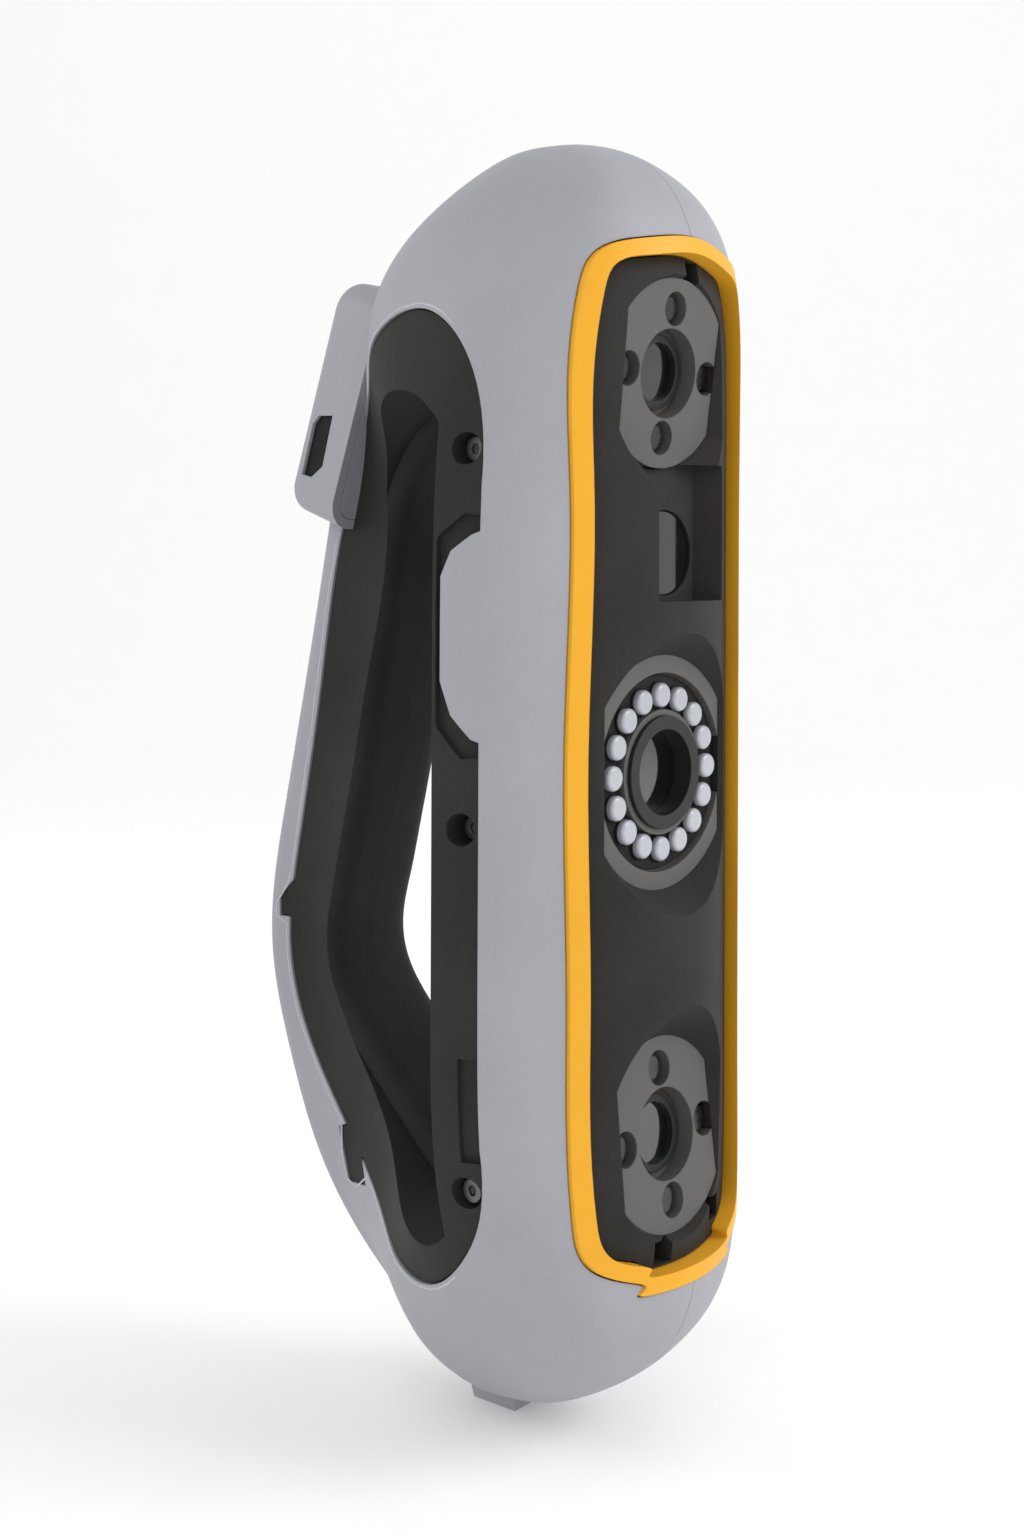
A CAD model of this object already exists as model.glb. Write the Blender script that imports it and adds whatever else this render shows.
import math
import bmesh
import bpy
from mathutils import Matrix, Vector
from mathutils.bvhtree import BVHTree


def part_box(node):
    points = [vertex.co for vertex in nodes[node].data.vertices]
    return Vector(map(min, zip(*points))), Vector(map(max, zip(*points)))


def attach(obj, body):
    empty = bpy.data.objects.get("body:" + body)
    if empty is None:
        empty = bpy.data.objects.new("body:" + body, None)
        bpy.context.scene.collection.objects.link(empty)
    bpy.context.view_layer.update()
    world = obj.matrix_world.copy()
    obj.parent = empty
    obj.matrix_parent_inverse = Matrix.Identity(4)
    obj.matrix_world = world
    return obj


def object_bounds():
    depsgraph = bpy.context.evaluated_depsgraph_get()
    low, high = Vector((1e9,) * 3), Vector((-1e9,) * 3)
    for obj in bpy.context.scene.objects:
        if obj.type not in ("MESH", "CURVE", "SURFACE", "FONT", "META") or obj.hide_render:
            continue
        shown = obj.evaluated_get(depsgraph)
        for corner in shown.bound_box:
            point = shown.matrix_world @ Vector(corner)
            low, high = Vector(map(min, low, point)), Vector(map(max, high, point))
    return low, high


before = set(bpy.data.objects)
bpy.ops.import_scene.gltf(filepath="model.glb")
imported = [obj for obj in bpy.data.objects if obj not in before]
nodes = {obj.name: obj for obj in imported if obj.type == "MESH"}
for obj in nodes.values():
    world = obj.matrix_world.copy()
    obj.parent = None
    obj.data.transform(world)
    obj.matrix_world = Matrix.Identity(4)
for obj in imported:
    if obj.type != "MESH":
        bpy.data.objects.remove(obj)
cad_low, cad_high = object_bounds()
MM = 0.001

DRIFT_SCALE = 38
NOISE_LOW = 0.3
NOISE_HIGH = 0.7
EDGE_ROUND = 0.35 * MM
EDGE_FLAT = 0.98
EDGE_SHARP = 0.80
GRAIN_DEPTH = 0.06 * MM
ROUGH_SWING = 0.07
ROUGH_LEAST = 0.03


# ---------------------------------------------------------------- materials
def srgb(code):
    """Linear colour from a six-digit display colour."""
    values = [int(code[i:i + 2], 16) / 255 for i in (0, 2, 4)]
    return tuple(v / 12.92 if v <= 0.04045 else ((v + 0.055) / 1.055) ** 2.4 for v in values) + (1.0,)


def remap(tree, source, from_low, from_high, to_low=0.0, to_high=1.0):
    """Output of a map-range node that stretches one output over a new range."""
    node = tree.nodes.new("ShaderNodeMapRange")
    node.inputs["From Min"].default_value = from_low
    node.inputs["From Max"].default_value = from_high
    node.inputs["To Min"].default_value = to_low
    node.inputs["To Max"].default_value = to_high
    tree.links.new(source, node.inputs["Value"])
    return node.outputs["Result"]


def finish_material(name, colour, rough, grain=1500, bump=0.25, drift=0.05, worn=0.06,
                    metal=0.0, coat=0.0, gloss=0.5):
    """Moulded or machined surface: fine grain, slow colour drift, rounded and slightly polished edges."""
    mat = bpy.data.materials.new(name)
    mat.use_nodes = True
    tree = mat.node_tree
    link = tree.links.new
    shader = tree.nodes["Principled BSDF"]
    place = tree.nodes.new("ShaderNodeTexCoord")

    fine = tree.nodes.new("ShaderNodeTexNoise")
    fine.inputs["Scale"].default_value = grain
    fine.inputs["Detail"].default_value = 4
    fine.inputs["Roughness"].default_value = 0.65
    link(place.outputs["Object"], fine.inputs["Vector"])
    slow = tree.nodes.new("ShaderNodeTexNoise")
    slow.inputs["Scale"].default_value = DRIFT_SCALE
    slow.inputs["Detail"].default_value = 5
    link(place.outputs["Object"], slow.inputs["Vector"])

    # colour: base, drifting darker and lighter, with a speckle of the grain
    drifted = tree.nodes.new("ShaderNodeMix")
    drifted.data_type = "RGBA"
    drifted.inputs[6].default_value = tuple(c * (1 - drift) for c in colour[:3]) + (1,)
    drifted.inputs[7].default_value = tuple(min(1, c * (1 + drift)) for c in colour[:3]) + (1,)
    blend = tree.nodes.new("ShaderNodeMath")
    blend.operation = "MULTIPLY_ADD"
    blend.inputs[1].default_value = 0.5
    link(fine.outputs["Fac"], blend.inputs[0])
    half = tree.nodes.new("ShaderNodeMath")
    half.operation = "MULTIPLY"
    half.inputs[1].default_value = 0.5
    link(slow.outputs["Fac"], half.inputs[0])
    link(half.outputs[0], blend.inputs[2])
    link(remap(tree, blend.outputs[0], NOISE_LOW, NOISE_HIGH), drifted.inputs[0])

    # edges: a rounded normal, and where it leaves the face normal the surface is rubbed
    soft = tree.nodes.new("ShaderNodeBevel")
    soft.samples = 4
    soft.inputs["Radius"].default_value = EDGE_ROUND
    face = tree.nodes.new("ShaderNodeNewGeometry")
    turn = tree.nodes.new("ShaderNodeVectorMath")
    turn.operation = "DOT_PRODUCT"
    link(soft.outputs["Normal"], turn.inputs[0])
    link(face.outputs["Normal"], turn.inputs[1])
    rubbed = tree.nodes.new("ShaderNodeMix")
    rubbed.data_type = "RGBA"
    rubbed.inputs[7].default_value = tuple(c + (1 - c) * 0.5 for c in colour[:3]) + (1,)
    link(remap(tree, turn.outputs["Value"], EDGE_FLAT, EDGE_SHARP, 0.0, worn), rubbed.inputs[0])
    link(drifted.outputs[2], rubbed.inputs[6])
    link(rubbed.outputs[2], shader.inputs["Base Color"])

    sheen = remap(tree, fine.outputs["Fac"], NOISE_LOW, NOISE_HIGH,
                  max(ROUGH_LEAST, rough - ROUGH_SWING), min(1, rough + ROUGH_SWING))
    link(sheen, shader.inputs["Roughness"])

    relief = tree.nodes.new("ShaderNodeBump")
    relief.inputs["Strength"].default_value = bump
    relief.inputs["Distance"].default_value = GRAIN_DEPTH
    link(fine.outputs["Fac"], relief.inputs["Height"])
    link(soft.outputs["Normal"], relief.inputs["Normal"])
    link(relief.outputs["Normal"], shader.inputs["Normal"])
    shader.inputs["Metallic"].default_value = metal
    shader.inputs["Coat Weight"].default_value = coat
    shader.inputs["Specular IOR Level"].default_value = gloss
    return mat


def lens_material(name, tint, alpha, rough):
    """Coated optical glass: a dark see-through body with a faint smear in its gloss."""
    mat = finish_material(name, tint, rough, grain=300, bump=0.0, drift=0.15, worn=0.0, coat=1.0)
    shader = mat.node_tree.nodes["Principled BSDF"]
    shader.inputs["Alpha"].default_value = alpha
    shader.inputs["IOR"].default_value = 1.52
    return mat


MATERIALS = {
    "shell": finish_material("shell_grain", srgb("9B9CA2"), 0.50, bump=0.45, drift=0.07,
                             worn=0.08, gloss=0.3),
    "grip": finish_material("grip_grain", srgb("2D2C2B"), 0.62, grain=1300, bump=0.70, drift=0.32,
                            worn=0.03, gloss=0.12),
    "bezel": finish_material("bezel_grain", srgb("E3A427"), 0.45, bump=0.25, drift=0.04,
                             worn=0.04, gloss=0.25),
    "mask": finish_material("mask_grain", srgb("2D2C2B"), 0.60, grain=1300, bump=0.65, drift=0.30,
                            worn=0.03, gloss=0.12),
    "plate": finish_material("plate_grain", srgb("595755"), 0.55, grain=1600, bump=0.35, drift=0.08,
                             worn=0.05, gloss=0.25),
    "barrel": finish_material("anodised_black", srgb("1C1E1D"), 0.42, grain=2400, bump=0.25,
                              drift=0.10, worn=0.08, gloss=0.3),
    "lens": lens_material("coated_lens", (0.002, 0.003, 0.004, 1), 0.96, 0.04),
    "window": lens_material("filter_window", (0.003, 0.003, 0.003, 1), 0.98, 0.10),
    "board": finish_material("board_lacquer", srgb("1F5B3A"), 0.33, grain=900, bump=0.15,
                             drift=0.12, coat=0.3),
    "led": finish_material("led_epoxy", srgb("A6A8AF"), 0.16, grain=700, bump=0.05,
                           drift=0.04, coat=0.5),
    "infrared": finish_material("infrared_epoxy", srgb("161518"), 0.25, grain=700, bump=0.05,
                                coat=0.2),
    "alloy": finish_material("blasted_alloy", srgb("B4B6B8"), 0.40, grain=1800, bump=0.30,
                             worn=0.10, metal=1.0),
    "black": finish_material("black_insert", srgb("151615"), 0.60, bump=0.30, drift=0.10,
                             worn=0.03, gloss=0.2),
    "screen": finish_material("screen_gloss", srgb("08090B"), 0.07, grain=250, bump=0.0,
                              drift=0.15, worn=0.0, coat=1.0),
    "button": finish_material("button_grain", srgb("3A3A39"), 0.50, bump=0.35, drift=0.08,
                              worn=0.08, gloss=0.3),
    "screw": finish_material("screw_phosphate", srgb("6B6B69"), 0.36, grain=2400, bump=0.30,
                             worn=0.16, metal=0.85),
    "brass": finish_material("knurled_brass", srgb("B88A3E"), 0.32, grain=2600, bump=0.50,
                             worn=0.15, metal=1.0),
    "mark": finish_material("mark_ink", srgb("D9DADC"), 0.50, bump=0.10),
    "rim": finish_material("rim_grain", srgb("B8B9BE"), 0.42, bump=0.15, drift=0.03, worn=0.10),
}
LOOKS = {
    "shell": ["left_shell", "right_shell", "pod_housing", "pod_back_plate", "connector_block"],
    "grip": ["left_grip", "right_grip"],
    "bezel": ["front_bezel", "scan_button"],
    "mask": ["front_mask"],
    "plate": ["upper_camera_housing", "lower_camera_housing", "texture_camera_housing", "projector_housing"],
    "barrel": ["upper_lens_barrel", "lower_lens_barrel", "texture_lens_barrel"],
    "lens": ["upper_lens", "lower_lens", "texture_lens", "projector_lens"],
    "window": ["projector_window"],
    "board": ["upper_sensor_board", "lower_sensor_board", "main_board", "button_board"],
    "led": ["light_ring_leds"],
    "infrared": ["infrared_leds"],
    "alloy": ["optical_frame", "heat_sink"],
    "black": ["pod_side_inserts", "connector_contacts", "light_ring_board"],
    "screen": ["screen_glass", "display_module"],
    "button": ["minus_button", "plus_button"],
    "screw": ["side_screws"],
    "brass": ["screw_inserts"],
}
for look, members in LOOKS.items():
    for member in members:
        for holder in nodes[member].material_slots:
            holder.material = MATERIALS[look]


def placed(name, data):
    """New object in the scene."""
    obj = bpy.data.objects.new(name, data)
    bpy.context.scene.collection.objects.link(obj)
    return obj


def mesh_object(name, mesh_maker, material, same_side=True):
    """New smooth-shaded object built in mesh code."""
    mesh = bpy.data.meshes.new(name)
    bm = bmesh.new()
    mesh_maker(bm)
    if same_side:
        bmesh.ops.recalc_face_normals(bm, faces=bm.faces[:])
    bm.to_mesh(mesh)
    bm.free()
    for polygon in mesh.polygons:
        polygon.use_smooth = True
    mesh.materials.append(material)
    return placed(name, mesh)


def piece_from(name, mesh_maker, material, body="scanner"):
    """One new piece, riding on a body."""
    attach(mesh_object(name, mesh_maker, MATERIALS[material]), body)


def tube(bm, path, radius, sides=8, closed=True):
    """Round bead along a path of points; an open one is capped at both ends."""
    rings = []
    count = len(path)
    for index, point in enumerate(path):
        before = path[index - 1] if closed or index else point
        after = path[(index + 1) % count] if closed or index < count - 1 else point
        along = (after - before).normalized()
        side = along.cross(Vector((1, 0, 0)))
        side = side.normalized() if side.length > 0.1 else along.orthogonal().normalized()
        up = along.cross(side)
        ring = []
        for k in range(sides):
            angle = 2 * math.pi * k / sides
            ring.append(bm.verts.new(point + side * math.cos(angle) * radius
                                     + up * math.sin(angle) * radius))
        rings.append(ring)
    for index in range(count if closed else count - 1):
        one, two = rings[index], rings[(index + 1) % count]
        for k in range(sides):
            bm.faces.new((one[k], one[(k + 1) % sides], two[(k + 1) % sides], two[k]))
    if not closed:
        bm.faces.new(rings[0])
        bm.faces.new(rings[-1])


def circle(radius, steps):
    """Points of a circle, as pairs."""
    return [(radius * math.cos(t), radius * math.sin(t))
            for t in (2 * math.pi * k / steps for k in range(steps))]


# ---------------------------------------------------------------- ring of LED seats
LED_COUNT = 16
LED_PITCH_RADIUS = 16.4 * MM
LED_SEAT_RADIUS = 2.80 * MM
LED_SEAT_WIRE = 0.24 * MM
LED_SEAT_SET = 0.25 * MM
ring_low, ring_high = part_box("light_ring_leds")
ring_centre = (ring_low + ring_high) / 2


def led_seats(bm):
    """A black rim round the foot of each LED."""
    for x, z in circle(LED_PITCH_RADIUS, LED_COUNT):
        middle = Vector((ring_centre.x + x, ring_high.y - LED_SEAT_SET, ring_centre.z + z))
        tube(bm, [middle + Vector((a, 0, b)) for a, b in circle(LED_SEAT_RADIUS, 28)], LED_SEAT_WIRE)


piece_from("led_seats", led_seats, "black")


# ---------------------------------------------------------------- marks on the pod's buttons
POD_CENTRE = Vector((0, 45.2, 228.4)) * MM
POD_TILT = math.radians(19)
POD_OUT = Vector((0, math.cos(POD_TILT), math.sin(POD_TILT)))
POD_UP = Vector((0, -math.sin(POD_TILT), math.cos(POD_TILT)))
POD_SIDE = Vector((-1, 0, 0))
BUTTON_X = 11.8
BUTTON_Y = -16
BUTTON_FACE = 1.3
BAR_LENGTH = 3.4
BAR_WIDTH = 0.8
BAR_LAYERS = ((1.25, 1.42, 0.0), (1.42, 1.48, 0.12))
RING_MARK = 2.3
RING_MARK_WIRE = 0.22 * MM


def on_pod(x, y, out):
    """Point on the pod: millimetres across, up and out of its face."""
    return POD_CENTRE + POD_SIDE * x * MM + POD_UP * y * MM + POD_OUT * out * MM


def bar(bm, x, turned):
    """Low raised bar with round ends on the face of the button at x."""
    outline = []
    for end in (1, -1):
        for k in range(9):
            angle = math.pi * k / 8 - math.pi / 2 + (0 if end == 1 else math.pi)
            a = end * (BAR_LENGTH - BAR_WIDTH) / 2 + math.cos(angle) * BAR_WIDTH / 2
            b = math.sin(angle) * BAR_WIDTH / 2
            outline.append((a, b) if not turned else (-b, a))
    for low, high, shrink in BAR_LAYERS:
        base = [bm.verts.new(on_pod(x + a, BUTTON_Y + b, low)) for a, b in outline]
        top = [bm.verts.new(on_pod(x + a * (1 - shrink), BUTTON_Y + b * (1 - shrink), high))
               for a, b in outline]
        for k in range(len(outline)):
            m = (k + 1) % len(outline)
            bm.faces.new((base[k], base[m], top[m], top[k]))
        bm.faces.new(top)


def plus_mark(bm):
    bar(bm, BUTTON_X, False)
    bar(bm, BUTTON_X, True)


def minus_mark(bm):
    bar(bm, -BUTTON_X, False)


def scan_mark(bm):
    path = [on_pod(x, BUTTON_Y + y, BUTTON_FACE) for x, y in circle(RING_MARK, 40)]
    tube(bm, path, RING_MARK_WIRE)


piece_from("plus_mark", plus_mark, "mark", "plus_button")
piece_from("minus_mark", minus_mark, "mark", "minus_button")
piece_from("scan_mark", scan_mark, "black", "scan_button")


# ---------------------------------------------------------------- bead on the shell outside each grip panel
PANEL_STEPS = 90
PANEL_SWEEP = (100, -100)
PANEL_REACH = 0.14
PANEL_NEAR = 0.02
REACH_STEP = 0.3 * MM
BEAD_OUT = 1.5 * MM
BEAD_WIRE = 0.26 * MM
BEAD_SINK = 0.14 * MM
BEAD_JUMP = 12 * MM
SEAM_CLEAR = 6 * MM
FAR_OUT = 0.2
SHORTEST_BEAD = 5


def rim(panel, shell, side):
    """Fine bead on the shell, a little outside the panel's upper, spine and lower edges."""
    def sideways(tree, spot):
        return tree.ray_cast(spot + Vector((side * FAR_OUT, 0, 0)), Vector((-side, 0, 0)))

    def make(bm):
        graph = bpy.context.evaluated_depsgraph_get()
        panel_tree = BVHTree.FromObject(nodes[panel], graph)
        shell_tree = BVHTree.FromObject(nodes[shell], graph)
        low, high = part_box(panel)
        middle = Vector((0, low.y + 0.30 * (high.y - low.y), (low.z + high.z) / 2))
        runs = [[]]
        for step in range(PANEL_STEPS + 1):
            angle = math.radians(PANEL_SWEEP[0]
                                 + (PANEL_SWEEP[1] - PANEL_SWEEP[0]) * step / PANEL_STEPS)
            out = Vector((0, math.cos(angle), math.sin(angle)))
            reach = PANEL_REACH
            while reach > PANEL_NEAR and sideways(panel_tree, middle + out * reach)[0] is None:
                reach -= REACH_STEP
            spot, normal = sideways(shell_tree, middle + out * (reach + BEAD_OUT))[:2]
            run = runs[-1]
            jumped = spot is not None and run and (spot - run[-1]).length > BEAD_JUMP
            if spot is None or side * spot.x <= SEAM_CLEAR or jumped:
                runs.append([])
            else:
                run.append(spot - normal * BEAD_SINK)
        for run in runs:
            if len(run) > SHORTEST_BEAD:
                tube(bm, run, BEAD_WIRE, closed=False)
    return make


piece_from("left_panel_bead", rim("left_grip", "left_shell", -1), "rim")
piece_from("right_panel_bead", rim("right_grip", "right_shell", 1), "rim")

# ---------------------------------------------------------------- stage, lights and camera
AWAY = Vector((0.80, 0.60, 0))
ACROSS = Vector((0.60, -0.80, 0))
FLOOR_START = -3.0
FLOOR_END = 1.2
SWEEP = 0.9
SWEEP_STEPS = 12
WALL_TOP = 4.0
HALF_WIDTH = 4
PAPER_GLOW = 0.09
WORLD_LIGHT = 0.80


def backdrop_sheet(bm):
    """Floor that sweeps up into a wall behind the object."""
    profile = [(FLOOR_START, 0.0), (FLOOR_END, 0.0)]
    for k in range(1, SWEEP_STEPS + 1):
        t = math.pi / 2 * k / SWEEP_STEPS
        profile.append((FLOOR_END + SWEEP * math.sin(t), SWEEP - SWEEP * math.cos(t)))
    profile.append((FLOOR_END + SWEEP, WALL_TOP))
    rows = []
    for distance, height in profile:
        rows.append([bm.verts.new(AWAY * distance + ACROSS * side + Vector((0, 0, height)))
                     for side in (-HALF_WIDTH, HALF_WIDTH)])
    for one, two in zip(rows, rows[1:]):
        bm.faces.new((one[0], one[1], two[1], two[0]))


paper = finish_material("paper", (0.93, 0.93, 0.93, 1), 0.85, grain=400, bump=0.05, drift=0.01,
                        worn=0.0)
paper.node_tree.nodes["Principled BSDF"].inputs["Emission Strength"].default_value = PAPER_GLOW
mesh_object("backdrop", backdrop_sheet, paper, same_side=False)

world = bpy.data.worlds.new("studio")
bpy.context.scene.world = world
world.use_nodes = True
sky = world.node_tree.nodes["Background"]
sky.inputs["Color"].default_value = (1.0, 1.0, 1.0, 1)
sky.inputs["Strength"].default_value = WORLD_LIGHT
bpy.context.scene.view_settings.view_transform = "Standard"

centre = (cad_low + cad_high) / 2


def softbox(name, spot, size, power):
    """Square soft light that faces the object."""
    data = bpy.data.lights.new(name, "AREA")
    data.size = size
    data.energy = power
    lamp = placed(name, data)
    lamp.location = Vector(spot)
    lamp.rotation_euler = (centre - lamp.location).to_track_quat("-Z", "Y").to_euler()


softbox("key", (0.60, -1.10, 0.75), 0.7, 9)
softbox("fill", (-1.2, -0.6, 0.5), 1.0, 2)
softbox("rim_light", (-0.75, 0.9, 0.9), 0.6, 2.5)

EYE = Vector((-0.31187, -0.27713, 0.18894))
TOWARDS = Vector((0.79967, 0.60041, 0.00698))
ROLL = math.radians(0.2)
view = bpy.data.cameras.new("camera")
view.sensor_width = 36
view.sensor_fit = "AUTO"
view.lens = 42.75
view.shift_x = -0.0982
view.shift_y = -0.1412
view.clip_start = 0.01
camera = placed("camera", view)
camera.location = EYE
level = TOWARDS.to_track_quat("-Z", "Y").to_matrix().to_4x4()
camera.rotation_euler = (level @ Matrix.Rotation(ROLL, 4, "Z")).to_euler()
bpy.context.scene.camera = camera
